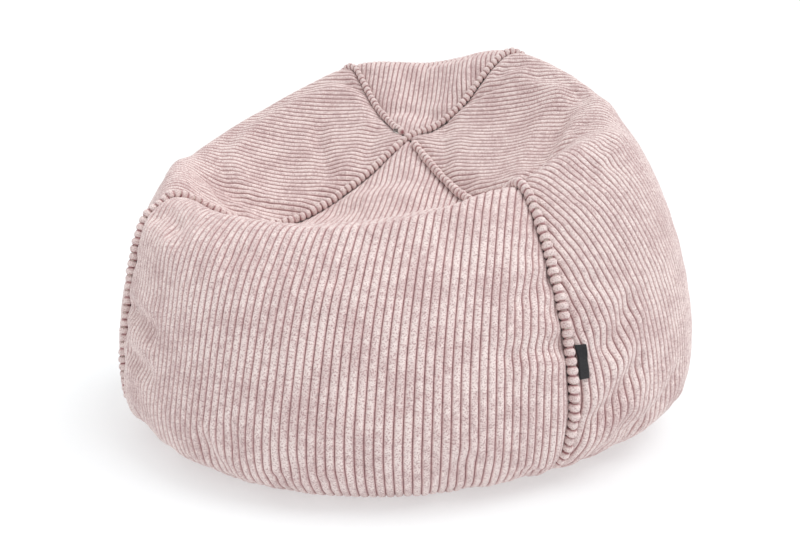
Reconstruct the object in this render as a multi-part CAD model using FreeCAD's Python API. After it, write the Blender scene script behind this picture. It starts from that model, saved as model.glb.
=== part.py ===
"""Bean bag chair: a corduroy cover of four gores over a zipped liner full of beads.

Frame: millimetres, +Z up, origin on the floor under the middle of the chair, the chair faces -Y.
Every layer follows one closed surface. A point of it is given by an azimuth round the chair and by t,
which runs from the centre of the seat (0) over the rim and down the side to the base seam (1).
"""
import FreeCAD, Part

import math
import os

V = FreeCAD.Vector

# --- the cover's outer surface ---------------------------------------------------------------------
# t of the seat centre, dish, rim, shoulder, belly, floor turn and base seam
KNOTS = [0.0, 0.17, 0.36, 0.52, 0.70, 0.88, 1.0]
SEAT_CENTRE_Y = 60.0        # the gores meet behind the middle, on the slope of the backrest
SEAT_CENTRE_Z = 415.0
CENTRE_SHIFT = [1.0, 0.75, 0.25, 0.0, 0.0, 0.0, 0.0]    # how much of SEAT_CENTRE_Y each knot keeps
# (radius, height) at each knot after the seat centre, one row per azimuth, every 45 degrees
FRONT = [(185, 275), (318, 292), (372, 254), (415, 123), (400, 17), (268, 2)]
FRONT_RIGHT = [(205, 315), (306, 345), (370, 262), (418, 115), (385, 20), (290, 2)]
RIGHT = [(188, 418), (312, 452), (392, 328), (438, 140), (390, 30), (268, 2)]
BACK_RIGHT = [(110, 475), (228, 552), (358, 330), (402, 143), (368, 22), (290, 2)]
BACK = [(120, 478), (250, 546), (380, 338), (430, 144), (390, 22), (268, 2)]
BACK_LEFT = [(130, 490), (235, 540), (360, 342), (405, 140), (372, 22), (290, 2)]
LEFT = [(184, 408), (318, 428), (388, 285), (435, 148), (388, 24), (268, 2)]
FRONT_LEFT = [(209, 282), (338, 325), (389, 274), (420, 122), (394, 20), (290, 2)]
STATIONS = [FRONT, FRONT_RIGHT, RIGHT, BACK_RIGHT, BACK, BACK_LEFT, LEFT, FRONT_LEFT]
FLOOR_EASE = 2.5            # keeps the underside just above the floor
FRONT_AZIMUTH = -90.0
STATION_STEP = 45.0

# --- layers, as depths below the outer surface --------------------------------------------------
COVER_DEPTHS = (0.0, 3.0)
LINER_DEPTHS = (4.2, 5.2)
FILL_DEPTH = 9.0
FILL_APEX_T = 0.03          # the beads close with one small patch inside this t
LINER_SEAM_GAP = 3.0        # from a liner gore's edge to its seam
APEX_T = 0.03               # the gores stop this short of the seat centre
GORE_ROWS = 33
GORE_COLUMNS = 9

# --- piping ----------------------------------------------------------------------------------------
PIPING_RADIUS = 6.2
PIPING_BORE = 3.4
CORD_RADIUS = 3.2
PIPING_LIFT = 2.5           # the piping's centre line stands this far out of the cover
PIPING_END_T = 0.87         # the piping stops where its seam turns under
PIPING_GAP = 0.6            # from the piping to a gore's edge
BASE_SEAM_GAP = 3.0         # from a gore's edge to the seam, under the chair
CROSSING_CLEARANCE = 13.2   # the short runs stop this far from the crossing run's centre line
CROSSING_T = 0.08           # the crossing run's first points from the seat centre
SEAM_POINTS = 30
RING_POINTS = 13

# --- base and zips ---------------------------------------------------------------------------------
BASE_INSET = 6.0            # from the gores' lower edge to the base panels' edge
BASE_THICKNESS = 2.6
FILL_FLOOR = 10.5
ZIP_LENGTH = 420.0
ZIP_SLOT = 5.5              # half width of the slot that a zip fills
COIL_INNER = 0.6            # half of the gap between the two coils
COIL_OUTER = 2.6
COIL_HEIGHTS = (1.2, 2.8)
TAPE_WIDTH = 14.0
TAPE_HEIGHTS = (2.8, 3.4)
SLIDER_LENGTH = 11.0
SLIDER_HALF_WIDTH = 4.2
SLIDER_WALL = 0.7
SLIDER_HEIGHTS = (0.3, 4.4)
SLIDER_WEB = 0.8            # thickness of the web between the coils
STOP_LENGTH = 3.0
LINER_ZIP_RISE = 4.6        # the liner's zip repeats the cover's zip this much higher
LINER_BASE_HEIGHTS = (6.2, 7.2)

# --- label -----------------------------------------------------------------------------------------
LABEL_T = (0.657, 0.71)     # from its upper to its lower edge, along the front right seam
LABEL_REACH = 12.0
LABEL_THICKNESS = 1.2
LABEL_LIFT = 2.0            # from the cover to the label


def spline(points, parameters, periodic=False):
    """Smooth curve through points, which it reaches at the given parameters."""
    curve = Part.BSplineCurve()
    curve.interpolate(Points=points, Parameters=parameters, PeriodicFlag=periodic)
    return curve


PROFILES = [spline([V(0, SEAT_CENTRE_Z, 0)] + [V(r, z, 0) for r, z in rows], KNOTS) for rows in STATIONS]
SHIFT = spline([V(share * SEAT_CENTRE_Y, knot, 0) for share, knot in zip(CENTRE_SHIFT, KNOTS)], KNOTS)
RINGS = {}


def ring(t):
    """Closed curve round the chair of (radius, height) at t. Its parameter counts the stations."""
    key = round(t, 6)
    if key not in RINGS:
        count = len(PROFILES)
        RINGS[key] = spline([profile.value(t) for profile in PROFILES], [float(i) for i in range(count + 1)], True)
    return RINGS[key]


def surface(azimuth, t):
    """Point of the outer surface."""
    turn = ((azimuth - FRONT_AZIMUTH) / STATION_STEP) % len(PROFILES)
    polar = ring(t).value(turn)
    angle = math.radians(azimuth)
    height = 0.5 * (polar.y + math.hypot(polar.y, 2.0 * FLOOR_EASE))
    return V(polar.x * math.cos(angle), polar.x * math.sin(angle) + SHIFT.value(t).x, height)


def normal(azimuth, t):
    """Outward unit normal of the outer surface."""
    low, high = max(t - 0.004, 0.002), min(t + 0.004, 1.0)
    along = surface(azimuth, high) - surface(azimuth, low)
    across = surface(azimuth + 1.0, max(t, 0.004)) - surface(azimuth - 1.0, max(t, 0.004))
    out = across.cross(along) * -1.0
    return out.normalize()


def below(azimuth, t, depth):
    """Point at a depth below the outer surface. A negative depth is outside it."""
    return surface(azimuth, t) - normal(azimuth, t) * depth


def smooth_patch(rows):
    """Surface through a grid of points."""
    patch = Part.BSplineSurface()
    patch.interpolate(rows)
    return patch


def row_ends(patch):
    """Curves along a patch's first and last row."""
    first, last, _, _ = patch.bounds()
    return [patch.uIso(first), patch.uIso(last)]


def column_ends(patch):
    """Curves along a patch's first and last column."""
    _, _, first, last = patch.bounds()
    return [patch.vIso(first), patch.vIso(last)]


def band(curve, facing):
    """Face straight across between two curves that run the same way."""
    patch = Part.BSplineSurface()
    patch.buildFromNSections([curve, facing])
    return patch.toShape()


def solid_between(outer_rows, inner_rows):
    """Solid between two grids of points with the same layout, its four sides straight across."""
    outer, inner = smooth_patch(outer_rows), smooth_patch(inner_rows)
    borders = zip(row_ends(outer) + column_ends(outer), row_ends(inner) + column_ends(inner))
    return closed_solid([outer.toShape(), inner.toShape()] + [band(curve, facing) for curve, facing in borders])


def closed_solid(faces):
    """Solid inside faces that meet at their edges."""
    shell = Part.makeShell(faces)
    shell.sewShape(0.01)
    solid = Part.Solid(shell if shell.ShapeType == "Shell" else shell.Shells[0])
    if solid.Volume < 0:
        solid.reverse()
    return solid


def gap_angle(azimuth, t, gap):
    """Angle that a gap beside a seam takes up."""
    radius = ring(t).value((azimuth - FRONT_AZIMUTH) / STATION_STEP % len(PROFILES)).x
    return math.degrees(gap / radius)


def gore(middle, depths, edge_gap):
    """One quarter of a layer, centred on an azimuth. edge_gap(t) is its distance from each seam."""
    grids = []
    for depth in depths:
        rows = []
        for i in range(GORE_ROWS):
            t = APEX_T + (1.0 - APEX_T) * i / (GORE_ROWS - 1)
            start, end = (middle + side * (STATION_STEP - gap_angle(middle + side * STATION_STEP, t, edge_gap(t)))
                          for side in (-1, 1))
            steps = [j / (GORE_COLUMNS - 1) for j in range(GORE_COLUMNS)]
            rows.append([below(start + (end - start) * step, t, depth) for step in steps])
        grids.append(rows)
    return solid_between(grids[0], grids[1])


def cover_gap(t):
    """Distance from a cover gore's edge to its seam: clear of the piping, then closing to the base."""
    full = PIPING_RADIUS + PIPING_GAP
    if t <= PIPING_END_T:
        return full
    return full + (BASE_SEAM_GAP - full) * (t - PIPING_END_T) / (1.0 - PIPING_END_T)


def liner_gap(_t):
    """Distance from a liner gore's edge to its seam."""
    return LINER_SEAM_GAP


def seam_line(azimuth, start_t):
    """Centre line of a piping along one seam, from start_t down to where it ends."""
    steps = [start_t + (PIPING_END_T - start_t) * i / (SEAM_POINTS - 1) for i in range(SEAM_POINTS)]
    return [below(azimuth, t, -PIPING_LIFT) for t in steps]


def even(points, count):
    """Points at even distances along a smooth curve through the given points."""
    curve = Part.BSplineCurve()
    curve.interpolate(Points=points)
    return curve.toShape().discretize(Number=count)


def tube_rows(line, radius):
    """Circles of points round a line, each square to it."""
    rows = []
    side = None
    for i, centre in enumerate(line):
        ahead = (line[min(i + 1, len(line) - 1)] - line[max(i - 1, 0)]).normalize()
        side = ahead.cross(V(0, 0, 1)) if side is None else side - ahead * side.dot(ahead)
        side = side.normalize()
        up = ahead.cross(side)
        angles = [2.0 * math.pi * j / (RING_POINTS - 1) for j in range(RING_POINTS)]
        rows.append([centre + (side * math.cos(a) + up * math.sin(a)) * radius for a in angles])
    return rows


def tube(line, outer, inner):
    """Tube along a line. An inner radius of 0 makes it solid."""
    skin = smooth_patch(tube_rows(line, outer))
    if inner == 0:
        return closed_solid([skin.toShape()] + [Part.Face(Part.Wire([curve.toShape()])) for curve in row_ends(skin)])
    bore = smooth_patch(tube_rows(line, inner))
    caps = [band(curve, facing) for curve, facing in zip(row_ends(skin), row_ends(bore))]
    return closed_solid([skin.toShape(), bore.toShape()] + caps)


def t_at_distance(azimuth, distance):
    """t at which a seam is a given distance from the seat centre."""
    centre = V(0, SEAT_CENTRE_Y, SEAT_CENTRE_Z)
    t = 0.01
    while surface(azimuth, t).distanceToPoint(centre) < distance:
        t += 0.001
    return t


def piping_lines():
    """Centre lines of the three runs: one crosses the seat from corner to corner, two stop beside it."""
    front_left, front_right, back_right, back_left = 225.0, -45.0, 45.0, 135.0
    down, up = (seam_line(azimuth, CROSSING_T) for azimuth in (front_left, back_right))
    middle = V(0, SEAT_CENTRE_Y, SEAT_CENTRE_Z + PIPING_LIFT)
    start = [t_at_distance(azimuth, CROSSING_CLEARANCE) for azimuth in (front_right, back_left)]
    return {
        "crossing_piping": even(down[::-1] + [middle] + up, 2 * SEAM_POINTS),
        "front_right_piping": even(seam_line(front_right, start[0]), SEAM_POINTS),
        "back_left_piping": even(seam_line(back_left, start[1]), SEAM_POINTS),
    }


def bead_fill():
    """The beads as one body under the liner, flat where they rest on the base."""
    rows = []
    count = 4 * (GORE_COLUMNS - 1)
    for i in range(GORE_ROWS):
        t = FILL_APEX_T + (1.0 - FILL_APEX_T) * i / (GORE_ROWS - 1)
        points = [below(FRONT_AZIMUTH + 360.0 * j / count, t, FILL_DEPTH) for j in range(count + 1)]
        rows.append([V(point.x, point.y, max(point.z, FILL_FLOOR)) for point in points])
    rows[-1] = [V(point.x, point.y, FILL_FLOOR) for point in rows[-1]]
    skin = smooth_patch(rows)
    top, bottom = row_ends(skin)
    caps = [Part.makeFilledFace([top.toShape()]), Part.Face(Part.Wire([bottom.toShape()]))]
    return closed_solid([skin.toShape()] + caps)


def base_outline(inset):
    """Closed outline of the base at height 0, inset from the gores' lower edge."""
    count = 32
    points = []
    for i in range(count):
        azimuth = FRONT_AZIMUTH + 360.0 * i / count
        edge = surface(azimuth, 1.0)
        outward = V(edge.x, edge.y, 0).normalize()
        points.append(V(edge.x, edge.y, 0) - outward * inset)
    curve = Part.BSplineCurve()
    curve.interpolate(Points=points, PeriodicFlag=True)
    return Part.Face(Part.Wire([curve.toShape()]))


def base_halves(heights):
    """Front and rear half of a base layer, with a slot between them for the zip."""
    plate = base_outline(BASE_INSET).extrude(V(0, 0, heights[1] - heights[0]))
    plate.translate(V(0, 0, heights[0]))
    front = Part.makeBox(1000, 500, 100, V(-500, -500 - ZIP_SLOT, -50))
    rear = Part.makeBox(1000, 500, 100, V(-500, ZIP_SLOT, -50))
    return plate.common(front), plate.common(rear)


def box(x, y, z):
    """Box between two limits along each axis."""
    return Part.makeBox(x[1] - x[0], y[1] - y[0], z[1] - z[0], V(x[0], y[0], z[0]))


def raised(heights, rise):
    """A pair of heights moved up."""
    return heights[0] + rise, heights[1] + rise


def zip_slider(rise):
    """Slider at the right end of its chain: two plates, side walls under the tapes and a thin web."""
    low, high = raised(SLIDER_HEIGHTS, rise)
    x = (ZIP_LENGTH / 2 - SLIDER_LENGTH, ZIP_LENGTH / 2)
    wide = (-SLIDER_HALF_WIDTH, SLIDER_HALF_WIDTH)
    lower = box(x, wide, (low, low + SLIDER_WALL))
    upper = box(x, wide, (high - SLIDER_WALL, high))
    web = box((x[0] + 3.0, x[1] - 3.0), (-SLIDER_WEB / 2, SLIDER_WEB / 2), (low, high))
    wall_top = TAPE_HEIGHTS[0] + rise - 0.3
    walls = []
    for side in (-1, 1):
        y = sorted((side * (SLIDER_HALF_WIDTH - SLIDER_WALL), side * SLIDER_HALF_WIDTH))
        walls.append(box(x, y, (low, wall_top)))
    return lower.fuse([upper, web] + walls).removeSplitter()


def zip_parts(prefix, rise):
    """A closed zip along X: two tapes, two coils, end stops and a slider."""
    half = ZIP_LENGTH / 2
    x = (-half, half)
    tape_x = (-half - 15.0, half + 15.0)
    parts = {}
    for name, side in (("front", -1), ("rear", 1)):
        tape_y = sorted((side * COIL_INNER, side * (COIL_INNER + TAPE_WIDTH)))
        coil_y = sorted((side * COIL_INNER, side * COIL_OUTER))
        parts[prefix + "_zip_tape_" + name] = box(tape_x, tape_y, raised(TAPE_HEIGHTS, rise))
        parts[prefix + "_zip_coil_" + name] = box(x, coil_y, raised(COIL_HEIGHTS, rise))
    wide = (-COIL_OUTER - 0.6, COIL_OUTER + 0.6)
    stops = []
    for start in (-half - 0.4 - STOP_LENGTH, half + 0.4):
        stops.append(box((start, start + STOP_LENGTH), wide, raised(COIL_HEIGHTS, rise)))
    parts[prefix + "_zip_stops"] = Part.makeCompound(stops)
    parts[prefix + "_zip_slider"] = zip_slider(rise)
    return parts


def side_label():
    """Folded label that stands out of the front right seam, against the right side of the piping."""
    azimuth = -45.0
    upper, lower = (below(azimuth, t, -PIPING_LIFT) for t in LABEL_T)
    out = normal(azimuth, sum(LABEL_T) / 2)
    along = (lower - upper).normalize()
    right = along.cross(out) * -1.0
    right = right if right.x > 0 else right * -1.0
    thick = out * LABEL_THICKNESS
    start = upper + right * (PIPING_RADIUS + 0.4) - out * (PIPING_LIFT - LABEL_LIFT)
    corners = [start, start + right * LABEL_REACH]
    corners += [corners[1] + (lower - upper), start + (lower - upper)]
    outline = Part.makePolygon(corners + [corners[0]])
    return Part.Face(outline).extrude(thick)


def build():
    """Every node of the chair, by name."""
    parts = {}
    for name, middle in (("front", -90.0), ("right", 0.0), ("back", 90.0), ("left", 180.0)):
        parts[name + "_panel"] = gore(middle, COVER_DEPTHS, cover_gap)
        parts["liner_" + name] = gore(middle, LINER_DEPTHS, liner_gap)
    for name, line in piping_lines().items():
        parts[name] = tube(line, PIPING_RADIUS, PIPING_BORE)
        parts[name + "_cord"] = tube(line, CORD_RADIUS, 0)
    parts["base_panel_front"], parts["base_panel_rear"] = base_halves((0.0, BASE_THICKNESS))
    parts["liner_base_front"], parts["liner_base_rear"] = base_halves(LINER_BASE_HEIGHTS)
    parts.update(zip_parts("cover", 0.0))
    parts.update(zip_parts("liner", LINER_ZIP_RISE))
    parts["side_label"] = side_label()
    parts["bead_fill"] = bead_fill()
    return parts


os.makedirs("parts", exist_ok=True)
for node, shape in build().items():
    shape.exportStep(os.path.join("parts", node + ".step"))
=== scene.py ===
"""Bean bag chair: the looks of a corduroy cover of four gores over a zipped liner full of beads.

Metres, +Z up, origin on the floor under the chair, which faces -Y. A place on the cover is given by turn,
which counts eighths round the chair from the front (0) past its right side (2), and by t, which runs
from the middle of the seat (0) over the rim and down the side to the base seam (1).
"""
import logging
import math
from dataclasses import dataclass, field
from enum import Enum
from typing import Any, Optional, Union

import bpy
import numpy as np
from mathutils import Matrix, Vector


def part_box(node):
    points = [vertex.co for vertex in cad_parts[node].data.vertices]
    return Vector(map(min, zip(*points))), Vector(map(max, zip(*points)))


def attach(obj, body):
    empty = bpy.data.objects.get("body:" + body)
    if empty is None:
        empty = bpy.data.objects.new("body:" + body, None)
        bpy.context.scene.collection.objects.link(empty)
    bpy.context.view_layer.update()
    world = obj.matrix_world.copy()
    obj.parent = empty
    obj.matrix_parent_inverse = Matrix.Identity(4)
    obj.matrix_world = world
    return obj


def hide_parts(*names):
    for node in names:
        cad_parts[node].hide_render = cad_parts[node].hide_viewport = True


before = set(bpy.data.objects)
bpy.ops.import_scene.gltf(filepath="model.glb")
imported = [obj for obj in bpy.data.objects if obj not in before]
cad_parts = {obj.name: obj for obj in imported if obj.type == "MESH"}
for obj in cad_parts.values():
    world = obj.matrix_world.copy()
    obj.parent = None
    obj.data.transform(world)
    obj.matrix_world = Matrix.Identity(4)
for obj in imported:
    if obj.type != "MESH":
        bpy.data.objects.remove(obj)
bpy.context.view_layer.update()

log = logging.getLogger("bean_bag")
Array = np.ndarray
MM = 0.001
TURNS = 8.0
CLOTH_MAP = "cloth"


class Quarter(Enum):
    """The four gores. The value is the turn of the gore's middle."""

    FRONT = 0.0
    RIGHT = 2.0
    BACK = 4.0
    LEFT = 6.0

    @property
    def word(self) -> str:
        """The gore's name in the nodes' names."""
        return self.name.lower()


class Seam(Enum):
    """The four seams between the gores. The value is the seam's turn."""

    FRONT_RIGHT = 1.0
    BACK_RIGHT = 3.0
    BACK_LEFT = 5.0
    FRONT_LEFT = 7.0


# --- numbers in arrays ------------------------------------------------------------------------------


def spline_weights(knots: Array, at: Array) -> Array:
    """Weight of each knot's value in the smooth cubic curve through all of them.

    The curve has no bend at its ends, and its second derivatives solve the usual three-term equations.

    Args:
        knots: Rising parameters of the knots.
        at: Parameters to evaluate, of any shape.

    Returns:
        Weights with one more axis than at, as long as knots.
    """
    gaps = np.diff(knots)
    count = len(knots)
    bend, rise = np.zeros((count, count)), np.zeros((count, count))
    bend[0, 0] = bend[-1, -1] = 1.0
    inner = np.arange(1, count - 1)
    bend[inner, inner - 1], bend[inner, inner + 1] = gaps[:-1], gaps[1:]
    bend[inner, inner] = 2.0 * (gaps[:-1] + gaps[1:])
    rise[inner, inner - 1], rise[inner, inner + 1] = 6.0 / gaps[:-1], 6.0 / gaps[1:]
    rise[inner, inner] = -6.0 / gaps[:-1] - 6.0 / gaps[1:]
    second = np.linalg.solve(bend, rise)
    cell = np.clip(np.searchsorted(knots, at, side="right") - 1, 0, count - 2)
    width = gaps[cell][..., None]
    right = ((at - knots[cell]) / gaps[cell])[..., None]
    left = 1.0 - right
    unit = np.eye(count)
    curve = ((left**3 - left) * second[cell] + (right**3 - right) * second[cell + 1]) * width**2 / 6.0
    return left * unit[cell] + right * unit[cell + 1] + curve


def unit_vectors(vectors: Array) -> Array:
    """Vectors along the last axis, each made 1 long."""
    return vectors / np.maximum(np.linalg.norm(vectors, axis=-1, keepdims=True), 1e-12)


def smooth_step(low: float, high: float, value: Array) -> Array:
    """0 below low, 1 above high, and an S-shaped rise between them."""
    share = np.clip((value - low) / (high - low), 0.0, 1.0)
    return share * share * (3.0 - 2.0 * share)


def ripple(x: Array, y: Array, wavelength: float, seed: int, waves: int = 7) -> Array:
    """Gentle unevenness: a sum of sine waves in many directions, near the given wavelength, about 1 high.

    Args:
        x: First coordinate, in metres.
        y: Second coordinate, in metres.
        wavelength: Middle of the waves' lengths, in metres.
        seed: Picks the directions, lengths and phases.
        waves: How many waves are added up.

    Returns:
        Values of x's shape.
    """
    draw = np.random.default_rng(seed)
    total = np.zeros(np.broadcast(x, y).shape)
    for _ in range(waves):
        heading, phase = draw.uniform(0, 2 * math.pi, 2)
        pace = 2 * math.pi / (wavelength * draw.uniform(0.6, 1.7))
        total += np.sin(pace * (x * math.cos(heading) + y * math.sin(heading)) + phase)
    return total / math.sqrt(waves)


def sample(grid: Array, turn: Array, t: Array) -> Array:
    """Straight-line interpolation in a grid over turn (closed) and t (0 to 1).

    Args:
        grid: Values on evenly spaced turns and t, the last turn repeating the first.
        turn: Turns to read at.
        t: t to read at.

    Returns:
        The values there, with grid's further axes last.
    """
    across, down = grid.shape[0] - 1, grid.shape[1] - 1
    u = np.mod(turn, TURNS) * across / TURNS
    v = np.clip(t, 0.0, 1.0) * down
    i, j = np.minimum(u.astype(int), across - 1), np.minimum(v.astype(int), down - 1)
    extra = (1,) * (grid.ndim - 2)
    a, b = (u - i).reshape(u.shape + extra), (v - j).reshape(v.shape + extra)
    upper = grid[i, j] * (1 - a) + grid[i + 1, j] * a
    lower = grid[i, j + 1] * (1 - a) + grid[i + 1, j + 1] * a
    return upper * (1 - b) + lower * b


def rest_on(height: Array, floor: float, ease: float) -> Array:
    """Settles heights softly on a floor: a rise r above it becomes half of r plus hypot(r, ease).

    Args:
        height: The heights.
        floor: Height of the floor.
        ease: How soon the floor is felt.

    Returns:
        The new heights, all above the floor.
    """
    rise = height - floor
    return floor + 0.5 * (rise + np.hypot(rise, ease))


def distances(path: Array) -> Array:
    """Distance along a path of (count, axes) from its first point to each of its points."""
    return np.concatenate([[0.0], np.linalg.norm(np.diff(path, axis=0), axis=1).cumsum()])


def along_line(spots: Array, along: Array, values: Array) -> Array:
    """Values of (count, axes) known at the distances along, read at the distances spots."""
    return np.stack([np.interp(spots, along, values[:, k]) for k in range(values.shape[1])], axis=1)


# --- the bag's shape --------------------------------------------------------------------------------


@dataclass(frozen=True)
class BagShape:
    """The cover's outer surface: eight profiles from the seat's middle to the base, joined smoothly round."""

    knots: tuple[float, ...] = (0.0, 0.17, 0.36, 0.52, 0.70, 0.88, 1.0)
    centre_y: float = 0.060
    centre_z: float = 0.415
    centre_share: tuple[float, ...] = (1.0, 0.75, 0.25, 0.0, 0.0, 0.0, 0.0)
    floor_ease: float = 0.0012
    # millimetres, (radius, height) at each knot after the first, at the front and then every eighth
    profiles: tuple[tuple[tuple[float, float], ...], ...] = (
        ((185, 275), (318, 292), (372, 254), (414, 123), (388, 6), (268, 2)),
        ((205, 315), (306, 345), (370, 262), (416, 115), (376, 10), (290, 2)),
        ((188, 418), (312, 452), (392, 328), (435, 140), (384, 18), (268, 2)),
        ((112, 478), (250, 557), (362, 330), (400, 143), (362, 14), (290, 2)),
        ((120, 484), (250, 557), (380, 338), (428, 144), (382, 14), (268, 2)),
        ((130, 491), (237, 543), (360, 342), (402, 140), (364, 14), (290, 2)),
        ((184, 408), (318, 430), (388, 287), (431, 148), (380, 15), (268, 2)),
        ((209, 282), (338, 328), (382, 275), (410, 122), (382, 12), (290, 2)),
    )

    def grid(self, across: int, down: int) -> Array:
        """Points of the surface on even turns and t.

        Each profile is a smooth cubic curve through its knots, and at each t a closed smooth cubic curve
        joins the eight profiles' radii and heights. The centre of the circles slides back over the seat.

        Args:
            across: Steps round the chair.
            down: Steps from the seat's middle to the base seam.

        Returns:
            Points as (across + 1, down + 1, 3).
        """
        turn, t = np.linspace(0, TURNS, across + 1), np.linspace(0, 1, down + 1)
        knots = np.array(self.knots)
        start = np.tile([0.0, self.centre_z / MM], (len(self.profiles), 1, 1))
        known = np.concatenate([start, np.array(self.profiles, float)], axis=1) * MM
        along = spline_weights(knots, t)
        stations = np.arange(3 * len(self.profiles) + 1, dtype=float)
        wrapped = spline_weights(stations, turn + TURNS)[:, :-1].reshape(len(turn), 3, -1).sum(axis=1)
        radius, height = np.einsum("uk,kjc,tj->cut", wrapped, known, along)
        azimuth = (turn * 2 * math.pi / TURNS - math.pi / 2)[:, None]
        shift = along @ np.array(self.centre_share) * self.centre_y
        height = rest_on(height, 0.0, 2 * self.floor_ease)
        return np.stack([radius * np.cos(azimuth), radius * np.sin(azimuth) + shift, height], axis=-1)


@dataclass(frozen=True)
class Fold:
    """A valley in the cloth along a line of (turn, t), or a ridge where its depth is negative.

    A softer swell of the other sign runs on both sides of it. The taper is the share of its length over
    which it fades at each end.
    """
    line: tuple[tuple[float, float], ...]
    depth: float
    width: float
    swell: float = 0.35
    taper: float = 0.25


@dataclass
class Swelling:
    """A cloth simulation of the bag: a slack, slightly roomy copy of the cover swells between held seams."""

    columns: int = 144
    rows: int = 60
    first_t: float = 0.02
    ring_shares: tuple[float, ...] = (0.75, 0.5, 0.25)
    held_below: float = 0.010
    frames: int = 20
    pressure: float = 4.0
    roominess: float = 0.035
    slack: float = 0.004
    cap: float = 0.007
    share: float = 0.75
    crown_fade: tuple[float, float] = (0.01, 0.06)
    mean_columns: int = 15
    mean_rows: int = 13
    mean_rounds: int = 2
    overlap: int = 12

    def relief(self, skin: "Skin") -> Array:
        """Runs the simulation.

        Args:
            skin: The smooth skin to start from.

        Returns:
            How far each point of the skin's grid moves outwards, without the slow part that would change
            the bag's overall shape.
        """
        turn = np.arange(self.columns) * TURNS / self.columns
        t = np.linspace(self.first_t, 1.0, self.rows)
        point, normal = skin.at(*np.broadcast_arrays(turn[:, None], t[None, :]))
        start = point - normal * self.slack
        top = skin.at(np.array([0.0]), np.array([0.0]))[0]
        moved = ((self._settle(start, turn, top) - start) * normal).sum(axis=-1)
        moved = np.clip(moved - self._slow(moved), -self.cap, self.cap)
        log.info("swelling: from %.1f to %.1f mm", moved.min() / MM, moved.max() / MM)
        return self._refine(moved, t, skin)

    def _settle(self, start: Array, turn: Array, top: Array) -> Array:
        """Closes the slack copy into a bag, holds its seams and its foot, and lets it swell.

        Args:
            start: The copy's points as (columns, rows, 3).
            turn: Turn of each column.
            top: The seat's middle as (1, 3).

        Returns:
            Where the copy's points are after the simulation.
        """
        centre = start[:, -1].mean(axis=0)
        rings = [centre + (start[:, -1] - centre) * share for share in self.ring_shares]
        body = np.concatenate([start, np.stack(rings, axis=1)], axis=1)
        rows = body.shape[1]
        vertices = np.concatenate([body.reshape(-1, 3), top, centre[None]])
        piece = make_mesh("swelling_bag", vertices, bag_faces(self.columns, rows))
        held = body[..., 2] < self.held_below
        held[np.isclose(np.mod(turn, 2.0), 1.0)] = True
        poles = [held.size, held.size + 1]
        group = piece.vertex_groups.new(name="held")
        group.add(np.flatnonzero(held).tolist() + poles, 1.0, "REPLACE")
        settled = self._simulate(piece)[:held.size].reshape(self.columns, rows, 3)
        bpy.data.objects.remove(piece)
        return settled[:, :self.rows]

    def _simulate(self, piece: bpy.types.Object) -> Array:
        """Swells a piece under pressure, without weight.

        Args:
            piece: The bag, with its held vertices in the group "held".

        Returns:
            Its vertices at the last frame as (count, 3).
        """
        cloth = piece.modifiers.new("swelling", "CLOTH")
        settings = cloth.settings
        settings.quality, settings.mass = 6, 0.25
        settings.tension_stiffness, settings.compression_stiffness = 12.0, 4.0
        settings.shear_stiffness, settings.bending_stiffness = 4.0, 0.4
        settings.use_pressure, settings.uniform_pressure_force = True, self.pressure
        settings.shrink_min = -self.roominess
        settings.vertex_group_mass = "held"
        settings.effector_weights.gravity = 0.0
        cloth.collision_settings.use_collision = False
        cloth.point_cache.frame_end = self.frames
        scene = bpy.context.scene
        for number in range(1, self.frames + 1):
            scene.frame_set(number)
        graph = bpy.context.evaluated_depsgraph_get()
        final = piece.evaluated_get(graph).to_mesh()
        place = np.zeros(len(final.vertices) * 3)
        final.vertices.foreach_get("co", place)
        piece.evaluated_get(graph).to_mesh_clear()
        scene.frame_set(1)
        return place.reshape(-1, 3)

    def _slow(self, moved: Array) -> Array:
        """The slow part of the movement: a running mean round and down the bag, taken a few times.

        Args:
            moved: The movement on the simulated grid.

        Returns:
            Its slow part on the same grid.
        """
        wide, tall = self.mean_columns, self.mean_rows
        for _ in range(self.mean_rounds):
            looped = np.concatenate([moved[-wide:], moved, moved[:wide]])
            moved = np.stack([looped[k:k + len(moved)] for k in range(2 * wide + 1)]).mean(axis=0)
            padded = np.pad(moved, ((0, 0), (tall, tall)), mode="edge")
            moved = np.stack([padded[:, k:k + moved.shape[1]] for k in range(2 * tall + 1)]).mean(axis=0)
        return moved

    def _refine(self, moved: Array, t: Array, skin: "Skin") -> Array:
        """Brings the movement to the skin's grid along smooth cubic curves, and fades it at the crown.

        Args:
            moved: The movement on the simulated grid.
            t: The simulated rows' t.
            skin: The skin whose grid it is for.

        Returns:
            The kept share of the movement at each point of the skin's grid.
        """
        looped = np.concatenate([moved[-self.overlap:], moved, moved[:self.overlap + 1]])
        around = np.linspace(0, TURNS, skin.across + 1) * self.columns / TURNS
        across = spline_weights(np.arange(len(looped), dtype=float), around + self.overlap)
        fine_t = np.linspace(0, 1, skin.down + 1)
        down = spline_weights(t, np.clip(fine_t, t[0], 1.0))
        return self.share * (across @ looped @ down.T) * smooth_step(*self.crown_fade, fine_t)


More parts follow.
